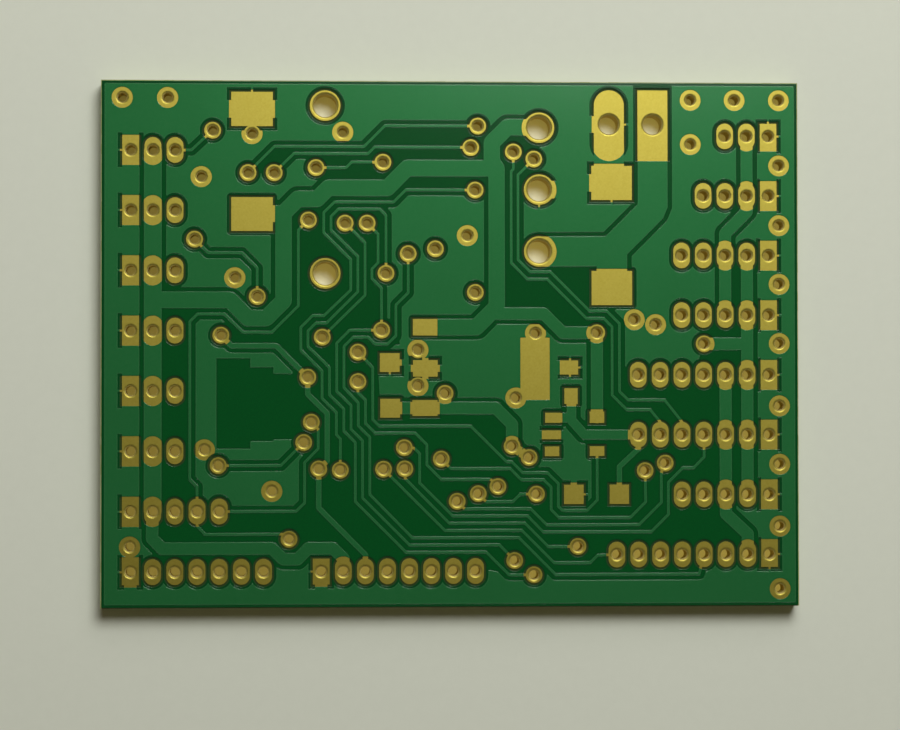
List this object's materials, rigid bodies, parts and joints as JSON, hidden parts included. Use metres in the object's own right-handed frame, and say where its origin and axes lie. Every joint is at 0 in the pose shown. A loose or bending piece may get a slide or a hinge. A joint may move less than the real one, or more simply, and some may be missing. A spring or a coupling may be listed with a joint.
{
  "type": "bare circuit board",
  "caption": "Small rectangular bare circuit board with rows of plated header holes along both long-side ends, vias, wire holes, surface lands and fine copper tracks under green mask.",
  "frame": {"origin": "middle of the underside, where the rear mask rests", "axes": "+X along the long side, towards the rows with the square land on the right; +Y towards the edge with the battery and power holes; +Z out of the face with the tracks"},
  "size_m": [0.0398, 0.0298, 0.0016],
  "materials": {
    "laminate": "cut edge of glass-epoxy laminate",
    "copper": "etched copper under the mask, gold where an opening bares it",
    "gold_plating": "satin gold over copper",
    "solder_mask": "glossy green photo-imaged mask"
  },
  "bodies": {
    "root": {"laminate": "laminate", "ground_pour": "copper", "supply_strip": "copper", "regulator_strip": "copper", "switching_strip": "copper", "battery_strip": "copper", "outer_strip": "copper", "middle_strip": "copper", "inner_strip": "copper", "signal_tracks": "copper", "feed_tracks": "copper", "component_lands": "gold_plating", "left_header_1": "gold_plating", "left_header_2": "gold_plating", "left_header_3": "gold_plating", "left_header_4": "gold_plating", "left_header_5": "gold_plating", "left_header_6": "gold_plating", "left_header_7": "gold_plating", "left_header_8": "gold_plating", "right_header_1": "gold_plating", "right_header_2": "gold_plating", "right_header_3": "gold_plating", "right_header_4": "gold_plating", "right_header_5": "gold_plating", "right_header_6": "gold_plating", "right_header_7": "gold_plating", "right_header_8": "gold_plating", "front_header": "gold_plating", "signal_vias": "gold_plating", "supply_vias": "gold_plating", "ground_vias": "gold_plating", "switch_lands": "gold_plating", "power_lands": "gold_plating", "battery_lands": "gold_plating", "rear_ground_plane": "copper", "top_solder_mask": "solder_mask", "rear_solder_mask": "solder_mask"}
  },
  "joints": []
}
